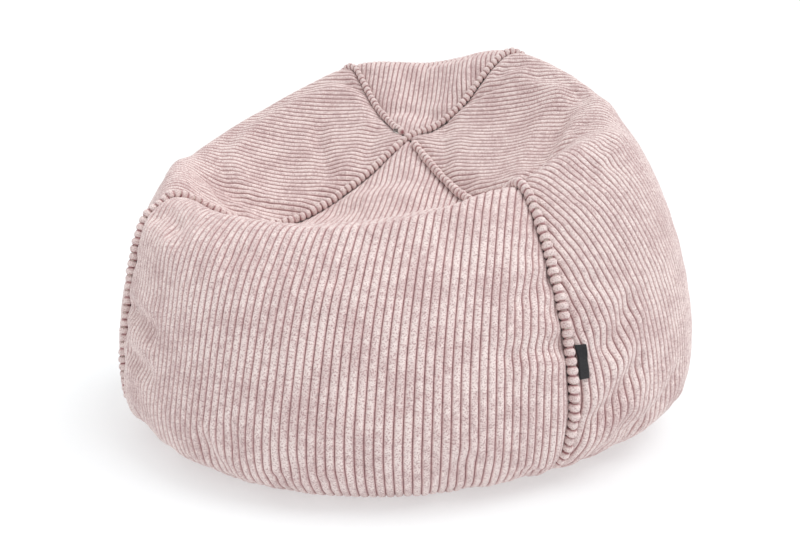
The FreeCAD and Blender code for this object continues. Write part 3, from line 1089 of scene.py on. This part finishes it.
@dataclass
class Gore:
    """One quarter of the corduroy cover, its mesh laid along the wales."""

    quarter: Quarter
    skin: Skin
    wander: float = 0.0006
    pitch: float = 0.009
    rib_height: float = 0.0032
    crest: float = 0.0010
    rows: int = 216
    edge_gap: float = 0.0009
    start_t: float = 0.004
    phases: tuple[float, ...] = (-1.0, -0.90, -0.68, -0.28, 0.28, 0.68, 0.90)
    roundness: float = 3.0
    fullness: float = 0.50
    hem: float = 0.006
    hem_share: float = 0.30
    base_fade: float = 0.010
    base_share: float = 0.4
    unevenness: float = 0.10
    floor: float = 0.0006
    floor_ease: float = 0.0012
    cut_size: tuple[int, int] = (25, 71)
    table_size: tuple[int, int] = (129, 401)
    bisections: int = 17

    def _cut(self) -> tuple[Array, Array, Array]:
        """Lays the gore flat and tabulates it.

        Returns:
            Fine t values, flat x along the left and the right seam as (2, t), and flat (x, y) on an even
            grid of the share across and those t.
        """
        share = np.linspace(0, 1, self.cut_size[0])
        coarse = np.linspace(self.start_t, 1, self.cut_size[1])
        turn = self.quarter.value - 1 + 2 * share
        flat = lay_flat(sample(self.skin.points, *np.broadcast_arrays(turn[:, None], coarse[None, :])))
        t = np.linspace(self.start_t, 1, self.table_size[1])
        down = spline_weights(coarse, t)
        across = spline_weights(share, np.linspace(0, 1, self.table_size[0]))
        table = np.einsum("ac,crk,dr->adk", across, flat, down)
        return t, table[[0, -1], :, 0], table

    def _columns(self, left: Array, right: Array) -> tuple[Array, Array]:
        """Lists the columns of vertices, as many to a wale as there are phases.

        Args:
            left: Flat x of the left edge at each t.
            right: Flat x of the right edge at each t.

        Returns:
            Flat x of each column, and its phase from -1 in one groove to 1 in the next.
        """
        wales = np.arange(math.floor(left.min() / self.pitch), math.ceil(right.max() / self.pitch) + 1)
        x = ((wales[:, None] + np.array(self.phases)[None, :] / 2) * self.pitch).ravel()
        phase = np.tile(self.phases, len(wales))
        inside = (x > left.min() * 0.998) & (x < right.max() * 0.998)
        return x[inside], phase[inside]

    def _height(self, phase: Array, to_seam: Array, place: Array, lumps: Array) -> Array:
        """Height of the pile over the grooves.

        Across a wale it is (1 - |phase| ^ roundness) ^ fullness times the rib's height. It fades into the
        hems at the seams and at the base, and lumps make it a little uneven.

        Args:
            phase: Phase of each column.
            to_seam: Distance to the nearest seam.
            place: t of each vertex.
            lumps: Gentle unevenness, about 1 high.

        Returns:
            The height of each vertex.
        """
        seam = smooth_step(0.0, self.hem, to_seam - self.edge_gap)
        base = smooth_step(0.0, self.base_fade, 1.0 - place)
        hem = self.hem_share + (1 - self.hem_share) * seam
        hem = hem * (self.base_share + (1 - self.base_share) * base)
        rib = (1 - np.abs(phase) ** self.roundness) ** self.fullness
        return self.rib_height * rib[:, None] * hem * (1 + self.unevenness * lumps)

    def build(self, material: bpy.types.Material) -> bpy.types.Object:
        """Builds the gore.

        Columns of vertices run along the wales. Each starts and ends where its own flat x meets a seam or
        the base, and sways a little on its way.

        Args:
            material: The corduroy.

        Returns:
            The gore's object.
        """
        t, edges, table = self._cut()
        left, right = edges[0] + self.edge_gap, edges[1] - self.edge_gap
        x, phase = self._columns(left, right)
        start, end = self._limits(t, left, right, x)
        x = x[:, None]
        place = start[:, None] + (end - start)[:, None] * np.linspace(0, 1, self.rows)[None, :]
        _, y, room = self._look_up(table, left, right, x, place, t)
        seed = int(self.quarter.value)
        sway = self.wander * ripple(x * 0.35, y, 0.11, 11 + seed) * smooth_step(0.0, 0.03, room)
        share = self._look_up(table, left, right, x + sway, place, t)[0]
        turn = self.quarter.value - 1 + 2 * share
        point, normal = self.skin.at(turn, place)
        to_seam = sample(self.skin.to_seam, turn, place)
        height = self._height(phase, to_seam, place, ripple(x * 0.9, y, 0.045, 31 + seed))
        point = point + normal * (height - self.rib_height + self.crest)[..., None]
        point[..., 2] = rest_on(point[..., 2], self.floor, self.floor_ease)
        cloth = np.stack([np.broadcast_to(x, y.shape), y], axis=-1)
        piece = make_mesh("gore_" + self.quarter.word, point.reshape(-1, 3), grid_faces(len(x), self.rows),
                          cloth.reshape(-1, 2))
        return finish_piece(piece, material, "corduroy", self.quarter.word + "_panel")

    @staticmethod
    def _limits(t: Array, left: Array, right: Array, x: Array) -> tuple[Array, Array]:
        """Finds where each column enters and leaves its gore.

        Args:
            t: The table's t.
            left: Flat x of the left edge at each t.
            right: Flat x of the right edge at each t.
            x: Flat x of each column.

        Returns:
            First and last t at which each column is between the edges.
        """
        room = np.minimum(x[:, None] - left[None, :], right[None, :] - x[:, None])
        inside = room >= 0
        first = inside.argmax(axis=1)
        last = inside.shape[1] - 1 - inside[:, ::-1].argmax(axis=1)
        row = np.arange(len(x))

        def crossing(inner: Array, outer: Array) -> Array:
            """Where the room between an inner and an outer row is used up.

            Args:
                inner: A row inside the gore for each column.
                outer: The row next to it, outside.

            Returns:
                The t between them.
            """
            gap = room[row, inner] - room[row, outer]
            share = np.where(gap > 1e-9, room[row, inner] / np.maximum(gap, 1e-9), 0.0)
            return t[inner] + (t[outer] - t[inner]) * np.clip(share, 0, 1)

        return (crossing(first, np.maximum(first - 1, 0)), crossing(last, np.minimum(last + 1, len(t) - 1)))

    def _look_up(self, table: Array, left: Array, right: Array, x: Array, place: Array,
                 t: Array) -> tuple[Array, Array, Array]:
        """Share across the gore, flat y and the room to the nearer edge, at flat x and t.

        In each row of the table flat x rises from the left seam to the right one, so a bisection on the
        share finds where it equals x. Beyond an edge it stays on the edge.

        Args:
            table: Flat (x, y) over even shares and t.
            left: Flat x of the left edge at each t.
            right: Flat x of the right edge at each t.
            x: Flat x wanted.
            place: t wanted.
            t: The table's t.

        Returns:
            The share, flat y and the room.
        """
        spot = np.clip((place - t[0]) / (t[-1] - t[0]), 0, 1) * (len(t) - 1)
        j = np.clip(spot.astype(int), 0, len(t) - 2)
        b = spot - j
        low_x, high_x = left[j] * (1 - b) + left[j + 1] * b, right[j] * (1 - b) + right[j + 1] * b
        centre_x = (low_x + high_x) / 2
        swapped = low_x > high_x
        low_x, high_x = np.where(swapped, centre_x, low_x), np.where(swapped, centre_x, high_x)
        wanted = np.clip(x, low_x, high_x)
        room = np.minimum(wanted - low_x, high_x - wanted)
        steps = table.shape[0] - 1

        def read(share: Array) -> Array:
            """Flat (x, y) at a share, in each place's own row.

            Args:
                share: The share across.

            Returns:
                Flat (x, y) there.
            """
            u = share * steps
            i = np.clip(u.astype(int), 0, steps - 1)
            a = (u - i)[..., None]
            down = b[..., None]
            upper = table[i, j] * (1 - a) + table[i + 1, j] * a
            return upper * (1 - down) + (table[i, j + 1] * (1 - a) + table[i + 1, j + 1] * a) * down

        low, high = np.zeros(place.shape), np.ones(place.shape)
        for _ in range(self.bisections):
            middle = (low + high) / 2
            short = read(middle)[..., 0] < wanted
            low, high = np.where(short, middle, low), np.where(short, high, middle)
        share = (low + high) / 2
        return share, read(share)[..., 1], room


@dataclass
class Piping:
    """Corduroy piping with its cord: the wales wrap the cord as a string of fat beads."""

    name: str
    skin: Skin
    legs: tuple[Seam, ...]
    clearance: float = 0.0
    lift: float = 0.0072
    pitch: float = 0.010
    radius: float = 0.0061
    waist: float = 0.0019
    root: float = 0.0011
    end_t: float = 0.872
    end_length: float = 0.004
    end_share: float = 0.12
    phases: tuple[float, ...] = (-1.0, -0.93, -0.78, -0.5, -0.15, 0.15, 0.5, 0.78, 0.93)
    size_spread: float = 0.07
    place_spread: float = 0.00035
    floor: float = 0.0008
    core_radius: float = 0.0032
    core_inset: float = 0.003
    core_sides: int = 8
    steps: int = 700
    smoothing: int = 30
    sides: int = 16
    seed: int = 5

    def path(self) -> tuple[Array, Array]:
        """Carries a line over the skin along the seams, smoothed by a running mean with a bell's weights.

        It rises a little over the seat and sinks towards the skin near the floor.

        Returns:
            The centre line, and the outward direction along it, each as (count, 3).
        """
        t = np.linspace(0.0, self.end_t, self.steps)
        legs = []
        for seam in self.legs:
            point, normal = self.skin.at(np.full(t.shape, seam.value), t)
            seat = smooth_step(0.0, 0.05, t)[:, None]
            under = 1 - 0.85 * smooth_step(0.70, self.end_t, t)[:, None]
            raised = point + normal * self.lift * (0.8 + 0.2 * seat) * under
            legs.append(np.concatenate([raised, normal], axis=1))
        both = legs[0] if len(legs) == 1 else np.concatenate([legs[0][::-1], legs[1][1:]])
        kernel = np.hanning(2 * self.smoothing + 1)
        kernel /= kernel.sum()
        padded = np.pad(both, ((self.smoothing, self.smoothing), (0, 0)), mode="edge")
        both = np.stack([np.convolve(padded[:, k], kernel, "valid") for k in range(6)], axis=1)
        return both[:, :3], unit_vectors(both[:, 3:])

    def build(self, cover: bpy.types.Material,
              core: bpy.types.Material) -> tuple[bpy.types.Object, bpy.types.Object]:
        """Builds the piping and the cord in it.

        The radius along a bead is the waist plus the rest times (1 - |phase| ^ 2) ^ 0.5, and each bead
        is a little larger or smaller and set a little off the line.

        Args:
            cover: The piping's corduroy.
            core: The cord's cotton.

        Returns:
            The two objects.
        """
        point, normal = self.path()
        along = distances(point)
        first = self.clearance
        count = int((along[-1] - first) / self.pitch)
        phases = np.array(self.phases)
        spots = (first + (np.arange(count)[:, None] + 0.5 + phases[None, :] / 2) * self.pitch).ravel()
        spots = np.append(spots, first + count * self.pitch)
        phase = np.append(np.tile(phases, count), 1.0)
        bead = np.append(np.repeat(np.arange(count), len(phases)), count - 1)
        draw = np.random.default_rng(self.seed)
        size = 1 + self.size_spread * draw.standard_normal(count).clip(-2, 2)[bead]
        off = draw.standard_normal((count, 2)).clip(-2, 2)[bead] * self.place_spread
        profile = (1 - np.abs(phase) ** 2.0) ** 0.5
        to_end = np.minimum(spots - first, spots[-1] - spots) / self.end_length
        ends = np.sqrt(np.clip(1 - np.maximum(0, 1 - to_end) ** 2, 0, 1))
        radius = (self.waist + (self.radius * size - self.waist) * profile) * np.maximum(ends, self.end_share)
        line, up = along_line(spots, along, point), unit_vectors(along_line(spots, along, normal))
        side = unit_vectors(np.cross(np.gradient(line, axis=0), up))
        line = line + side * off[:, :1] + up * (off[:, 1:] * 0.6 - self.root)
        tall = radius * 0.98 + self.root * np.minimum(ends, 1.0)
        points, uv = carry_ring(line, up, radius, tall, self.sides)
        points[:, 2] = np.maximum(points[:, 2], self.floor)
        along_bead = np.append(np.repeat(spots - first - self.pitch / 2, self.sides), [0.0, 0.0])
        uv = np.stack([along_bead, uv[:, 0]], axis=-1)
        piece = make_mesh(self.name + "_beads", points, tube_faces(len(line), self.sides), uv)
        finish_piece(piece, cover, "corduroy", self.name)
        fine = np.linspace(first + self.core_inset, spots[-1] - self.core_inset, count * 2)
        line, up = along_line(fine, along, point), unit_vectors(along_line(fine, along, normal))
        thick = np.full(len(fine), self.core_radius)
        points, uv = carry_ring(line, up, thick, thick, self.core_sides)
        cord = make_mesh(self.name + "_core", points, tube_faces(len(line), self.core_sides), uv)
        finish_piece(cord, core, "piping_cord", self.name + "_cord")
        return piece, cord


@dataclass
class Label:
    """The blank woven label: a ribbon folded double and sewn into the front right seam."""

    skin: Skin
    top_t: float = 0.634
    bottom_t: float = 0.678
    reach: float = 0.0175
    start: float = 0.0048
    lift: float = 0.0110
    gap: float = 0.0010
    thickness: float = 0.0005
    curl: float = 0.00096
    layer_points: int = 8
    bend_points: int = 7
    rows: int = 19

    def build(self, material: bpy.types.Material) -> bpy.types.Object:
        """Builds the ribbon.

        Its section runs out from the seam, turns round a half circle and comes back, and it is carried down
        the seam with a slight wave.

        Args:
            material: The label's weave.

        Returns:
            The ribbon, with its thickness as a modifier.
        """
        t = np.linspace(self.top_t, self.bottom_t, self.rows)
        point, normal = self.skin.at(np.full(t.shape, Seam.FRONT_RIGHT.value), t)
        down = unit_vectors(np.gradient(point, axis=0))
        right = unit_vectors(np.cross(down, normal))
        right = np.where(right[:, :1] < 0, -right, right)
        out = np.linspace(self.start, self.reach, self.layer_points)
        layer = np.full(self.layer_points, self.gap / 2)
        bend = np.linspace(-math.pi / 2, math.pi / 2, self.bend_points + 2)[1:-1]
        side = np.concatenate([out, self.reach + np.cos(bend) * self.gap / 2, out[::-1]])
        rise = np.concatenate([-layer, np.sin(bend) * self.gap / 2, layer])
        wave = self.curl * np.sin(np.linspace(0, math.pi, len(t)) * 1.3)
        curl = np.clip(side - self.start, 0, None)[None, :] / self.reach * wave[:, None]
        height = self.lift + rise[None, :] + curl
        points = point[:, None] + side[None, :, None] * right[:, None] + height[..., None] * normal[:, None]
        along = distances(point)
        around = distances(np.stack([side, rise], axis=1))
        uv = np.stack(np.broadcast_arrays(around[None, :], along[:, None]), axis=-1).reshape(-1, 2)
        piece = make_mesh("blank_label", points.reshape(-1, 3), grid_faces(len(t), len(side)), uv)
        solidify = piece.modifiers.new("ribbon", "SOLIDIFY")
        solidify.thickness = self.thickness
        solidify.offset = 0.0
        return finish_piece(piece, material, "label_cloth", "side_label")


# --- inside the cover -------------------------------------------------------------------------------


@dataclass
class Filling:
    """The liner's four gores and the beads in it, both under the cover's surface."""

    skin: Skin
    liner_depth: float = 0.0048
    fill_depth: float = 0.0085
    fill_floor: float = 0.0105
    seam_gap: float = 0.0015
    columns: int = 49
    rows: int = 81

    liner_floor: float = 0.0062
    bead_columns: int = 160
    bead_rows: int = 90

    def liner(self, quarter: Quarter, material: bpy.types.Material) -> bpy.types.Object:
        """Builds one gore of the liner: even steps across the quarter and down it, at one depth.

        Args:
            quarter: Which quarter.
            material: The liner's cloth.

        Returns:
            The gore.
        """
        t = np.linspace(0.006, 1.0, self.rows)
        side = np.linspace(-1, 1, self.columns)
        turn, t = np.broadcast_arrays(quarter.value + side[:, None], t[None, :])
        outer = self.skin.at(turn, t)[0]
        spread = np.maximum(np.linalg.norm(outer[0] - outer[-1], axis=-1), 0.006)
        turn = quarter.value + side[:, None] * (1 - 2 * self.seam_gap / spread)[None, :]
        points = self.skin.below(turn, t, self.liner_depth, self.liner_floor)
        across = np.linalg.norm(np.diff(points, axis=0, prepend=points[:1]), axis=-1).cumsum(axis=0)
        down = np.linalg.norm(np.diff(points, axis=1, prepend=points[:, :1]), axis=-1).cumsum(axis=1)
        uv = np.stack([across, down], axis=-1).reshape(-1, 2)
        piece = make_mesh("liner_gore_" + quarter.word, points.reshape(-1, 3),
                          grid_faces(self.columns, self.rows), uv)
        return finish_piece(piece, material, "liner_cloth", "liner_" + quarter.word)

    def beads(self, material: bpy.types.Material) -> bpy.types.Object:
        """Builds the beads as one closed body: the cover's surface at a depth, lumpy, with a flat underside.

        Args:
            material: The beads' finish.

        Returns:
            The body.
        """
        columns, rows = self.bead_columns, self.bead_rows
        turn = np.arange(columns)[:, None] * TURNS / columns
        turn, t = np.broadcast_arrays(turn, np.linspace(0.02, 0.97, rows)[None, :])
        points = self.skin.below(turn, t, self.fill_depth, self.fill_floor)
        lumps = 0.0006 * ripple(turn * 0.35, t, 0.05, 3) - 0.0008
        points = points + self.skin.at(turn, t)[1] * lumps[..., None]
        points[..., 2] = np.maximum(points[..., 2], self.fill_floor)
        top = self.skin.below(np.array([0.0]), np.array([0.0]), self.fill_depth)
        middle = points[:, -1].mean(axis=0)[None] * [1, 1, 0] + [0, 0, self.fill_floor]
        vertices = np.concatenate([points.reshape(-1, 3), top, middle])
        piece = make_mesh("bead_filling", vertices, bag_faces(columns, rows))
        return finish_piece(piece, material, "beads", "bead_fill")


@dataclass
class Base:
    """The flat underside of the cover or of the liner: two halves of cloth, sewn to the zip between them."""

    skin: Skin
    prefix: str
    node: str
    height: float
    thickness: float
    slot: str
    closed_gap: float = 0.0001
    columns: int = 97
    rows: int = 41

    def build(self, rear: bool, material: bpy.types.Material) -> bpy.types.Object:
        """Builds one half.

        Straight lines run from even places on the base seam to the zip's edge. Past the ends of the tape
        the two halves are sewn to each other, and the cloth rises and falls a little with the beads on it.

        Args:
            rear: Whether it is the rear half.
            material: Its cloth.

        Returns:
            The half, with its thickness as a modifier.
        """
        word, sign = ("rear", 1.0) if rear else ("front", -1.0)
        node = self.node + word
        low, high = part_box(node)
        slot_y = low[1] if rear else high[1]
        turn = np.linspace(-2, 2, self.columns) + (Quarter.BACK.value if rear else Quarter.FRONT.value)
        seam = self.skin.at(turn, np.full(turn.shape, 1.0))[0]
        seam[:, 1] = sign * np.maximum(sign * seam[:, 1], abs(slot_y) + 0.0002)
        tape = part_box(self.prefix + "_zip_tape_" + word)
        edge_x = seam[:, 0] * 0.985
        past = smooth_step(0.001, 0.004, np.maximum(tape[0][0] - edge_x, edge_x - tape[1][0]))
        zip_edge = np.stack([edge_x, slot_y * (1 - past) + sign * self.closed_gap * past, seam[:, 2]], axis=1)
        share = np.linspace(0, 1, self.rows)[None, :, None]
        points = seam[:, None] * (1 - share) + zip_edge[:, None] * share
        points[..., 2] = self.height + 0.0002 * ripple(points[..., 0], points[..., 1], 0.045, 17)
        piece = make_mesh(self.prefix + "_underside_" + word, points.reshape(-1, 3),
                          grid_faces(self.columns, self.rows)[:, ::-1], points[..., :2].reshape(-1, 2))
        solidify = piece.modifiers.new("cloth", "SOLIDIFY")
        solidify.thickness, solidify.offset = self.thickness, 0.0
        return finish_piece(piece, material, self.slot, node)


@dataclass
class Zip:
    """A closed coil zip along X: tapes, coils, end stops and a slider."""

    prefix: str
    tooth: float = 0.0016
    coil_waist: float = 0.78
    tape_size: tuple[int, int] = (221, 15)
    twill_height: float = 0.00004
    twill_pitch: float = 0.004

    def tape(self, word: str, material: bpy.types.Material) -> bpy.types.Object:
        """Builds a woven tape: a strip with a fine twill ripple, given its thickness by a modifier.

        Args:
            word: Which of the two tapes, front or rear.
            material: Its weave.

        Returns:
            The tape.
        """
        node = self.prefix + "_zip_tape_" + word
        low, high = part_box(node)
        columns, rows = self.tape_size
        x, y = np.linspace(low[0], high[0], columns), np.linspace(low[1], high[1], rows)
        x, y = np.meshgrid(x, y, indexing="ij")
        z = (low[2] + high[2]) / 2 + self.twill_height * np.sin((x + y) * 2 * math.pi / self.twill_pitch)
        piece = make_mesh(node + "_cloth", np.stack([x, y, z], axis=-1).reshape(-1, 3),
                          grid_faces(columns, rows)[:, ::-1], np.stack([x, y], axis=-1).reshape(-1, 2))
        solidify = piece.modifiers.new("cloth", "SOLIDIFY")
        solidify.thickness, solidify.offset = float(high[2] - low[2]) * 0.8, 0.0
        return finish_piece(piece, material, "zip_tape", node)

    def coil(self, word: str, material: bpy.types.Material) -> bpy.types.Object:
        """Builds a coil: a flattened tube whose radius rises and falls with every turn of the coil.

        Args:
            word: Which of the two coils, front or rear.
            material: Its plastic.

        Returns:
            The coil.
        """
        node = self.prefix + "_zip_coil_" + word
        low, high = np.array(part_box(node))
        x = np.arange(low[0], high[0], self.tooth / 4)
        swell = self.coil_waist + (1 - self.coil_waist) * np.cos(x * 2 * math.pi / self.tooth)
        middle, half = (low + high) / 2, (high - low) / 2
        path = np.stack([x, np.full(x.shape, middle[1]), np.full(x.shape, middle[2])], axis=1)
        up = np.tile([0.0, 0.0, 1.0], (len(x), 1))
        points, uv = carry_ring(path, up, half[1] * swell, half[2] * swell, 8)
        piece = make_mesh(node + "_spiral", points, tube_faces(len(x), 8), uv)
        return finish_piece(piece, material, "zip_plastic", node)

    def build(self, finishes: Wardrobe) -> None:
        """Builds the tapes and coils, and paints the stops and the slider.

        Args:
            finishes: The chair's finishes.
        """
        for word in ("front", "rear"):
            self.tape(word, finishes.tape)
            self.coil(word, finishes.coil)
        for word, material in (("stops", finishes.coil), ("slider", finishes.slider)):
            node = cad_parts[self.prefix + "_zip_" + word]
            node.data.materials.clear()
            node.data.materials.append(material)


# --- the studio -------------------------------------------------------------------------------------


@dataclass(frozen=True)
class Lamp:
    """A broad distant light: its direction from the chair, its power and the degrees it spreads over."""

    name: str
    place: tuple[float, float, float]
    power: float
    spread: float

    def build(self) -> None:
        """Adds the light."""
        light = bpy.data.lights.new(self.name, "SUN")
        light.energy, light.angle = self.power, math.radians(self.spread)
        lamp = bpy.data.objects.new(self.name, light)
        lamp.matrix_world = (-Vector(self.place)).to_track_quat("-Z", "Y").to_matrix().to_4x4()
        bpy.context.scene.collection.objects.link(lamp)


@dataclass
class Studio:
    """The pale floor, the soft light and the camera."""

    material: bpy.types.Material
    camera_place: tuple[float, float, float] = (0.307, -0.980, 0.351)
    heading: float = math.radians(17.2)
    pitch: float = math.radians(8.2)
    lens: float = 28.67
    floor_rings: tuple[float, ...] = (0.0005, 0.5, 2.0, 12.0)
    floor_sides: int = 96
    surround: float = 0.735
    surround_seen: float = 0.315
    lamps: tuple[Lamp, ...] = (Lamp("high", (0.60, 0.05, 1.0), 1.52, 38.0),
                               Lamp("left", (-0.7, 0.15, 1.0), 0.45, 60.0))

    def build(self) -> None:
        """Builds the floor, lights, world and camera."""
        self._floor()
        self._light()
        direction = Vector((-math.sin(self.heading) * math.cos(self.pitch),
                            math.cos(self.heading) * math.cos(self.pitch), -math.sin(self.pitch)))
        turned = direction.to_track_quat("-Z", "Y").to_matrix().to_4x4()
        camera = bpy.data.objects.new("camera", bpy.data.cameras.new("camera"))
        camera.data.lens = self.lens
        camera.data.sensor_width = 36.0
        camera.matrix_world = Matrix.Translation(self.camera_place) @ turned
        bpy.context.scene.collection.objects.link(camera)
        bpy.context.scene.camera = camera
        bpy.context.scene.view_settings.view_transform = "Standard"

    def _floor(self) -> None:
        """Builds the floor: a flat disc of rings, closed in the middle by one small face."""
        angle = np.linspace(0, 2 * math.pi, self.floor_sides + 1)[:-1]
        radius = np.array(self.floor_rings)[:, None]
        points = np.stack([radius * np.cos(angle), radius * np.sin(angle), 0 * radius * angle], axis=-1)
        faces = grid_faces(len(radius), self.floor_sides, close_rows=True)[:, ::-1].tolist()
        mesh = bpy.data.meshes.new("floor")
        mesh.from_pydata(points.reshape(-1, 3).tolist(), [], faces + [list(range(self.floor_sides))])
        floor = bpy.data.objects.new("floor", mesh)
        bpy.context.scene.collection.objects.link(floor)
        mesh.materials.append(self.material)

    def _light(self) -> None:
        """Lights the scene: an even white surround that the camera sees brighter, and two broad lights."""
        world = bpy.data.worlds.new("surround")
        bpy.context.scene.world = world
        world.use_nodes = True
        world.node_tree.nodes.clear()
        tree = Tree(world.node_tree)
        ray = tree.add("LightPath").outputs["Is Camera Ray"]
        strength = tree.math("MULTIPLY_ADD", ray, self.surround_seen, self.surround)
        background = tree.add("Background", {"Color": (1.0, 1.0, 1.0), "Strength": strength})
        tree.join(background.outputs[0], tree.add("OutputWorld").inputs["Surface"])
        for lamp in self.lamps:
            lamp.build()
WANDER = {Quarter.FRONT: 0.0003, Quarter.RIGHT: 0.0008, Quarter.BACK: 0.0007, Quarter.LEFT: 0.0007}
FOLDS: tuple[Fold, ...] = (
    # right seat: the valley behind the rim, and the rim's edge
    Fold(((1.0, 0.345), (1.47, 0.235), (1.81, 0.24), (2.11, 0.295), (2.35, 0.37)), 0.010, 0.022),
    Fold(((1.0, 0.36), (1.23, 0.352), (1.42, 0.372), (1.92, 0.415)), -0.007, 0.020, 0.1),
    # front: the rim's edge from corner to corner
    Fold(((7.03, 0.355), (7.5, 0.375), (8.0, 0.398), (8.5, 0.392), (8.97, 0.352)), -0.006, 0.017, 0.1, 0.08),
    # left: the rim's edge at the front corner, the soft bend in the seat and the crease beside the middle
    Fold(((6.30, 0.41), (6.6, 0.37), (6.85, 0.345), (7.0, 0.36)), -0.008, 0.022, 0.1),
    Fold(((6.55, 0.30), (6.75, 0.25), (7.0, 0.23)), 0.006, 0.020),
    Fold(((6.9, 0.09), (6.2, 0.12), (5.6, 0.19)), 0.004, 0.014),
    # front left corner: the sharp edge that the seam makes down the side
    Fold(((7.0, 0.41), (7.0, 0.54), (7.0, 0.70), (7.0, 0.90)), -0.008, 0.034, 0.0, 0.2),
    # front: short creases where the side seams pull
    Fold(((7.06, 0.632), (7.25, 0.640), (7.45, 0.655)), 0.006, 0.012),
    Fold(((7.06, 0.692), (7.25, 0.698), (7.45, 0.708)), 0.005, 0.011),
    Fold(((7.08, 0.455), (7.2, 0.47), (7.5, 0.50)), 0.004, 0.018),
    Fold(((1.05, 0.535), (0.93, 0.55), (0.78, 0.578)), 0.0035, 0.010),
    Fold(((1.05, 0.63), (0.88, 0.63), (0.68, 0.642)), 0.0035, 0.010),
    # right side: slanting creases low beside the seam
    Fold(((1.32, 0.59), (1.22, 0.628), (1.08, 0.66)), 0.005, 0.011),
    Fold(((1.32, 0.66), (1.14, 0.725), (1.0, 0.765)), 0.007, 0.013),
    Fold(((1.6, 0.70), (1.42, 0.76), (1.2, 0.80)), 0.005, 0.014),
)


def main() -> None:
    """Builds the chair in order, from the skin to the studio."""
    logging.basicConfig(level=logging.INFO, format="%(name)s: %(message)s")
    finishes = Wardrobe()
    skin = Skin(BagShape(), FOLDS)
    for quarter in Quarter:
        Gore(quarter, skin, wander=WANDER[quarter]).build(finishes.corduroy)
    for piping in (Piping("crossing_piping", skin, (Seam.FRONT_LEFT, Seam.BACK_RIGHT), seed=5),
                   Piping("front_right_piping", skin, (Seam.FRONT_RIGHT,), clearance=0.0135, seed=6),
                   Piping("back_left_piping", skin, (Seam.BACK_LEFT,), clearance=0.0135, seed=7)):
        piping.build(finishes.piping, finishes.cord)
    Label(skin).build(finishes.label)
    filling = Filling(skin)
    for quarter in Quarter:
        filling.liner(quarter, finishes.liner)
    filling.beads(finishes.beads)
    cover_base = Base(skin, "cover", "base_panel_", height=0.0013, thickness=0.0012, slot="base_cloth")
    liner_base = Base(skin, "liner", "liner_base_", height=0.0067, thickness=0.0006, slot="liner_cloth")
    for rear in (False, True):
        cover_base.build(rear, finishes.base)
        liner_base.build(rear, finishes.liner)
    for prefix in ("cover", "liner"):
        Zip(prefix).build(finishes)
    Studio(finishes.floor).build()


if __name__ == "__main__":
    main()
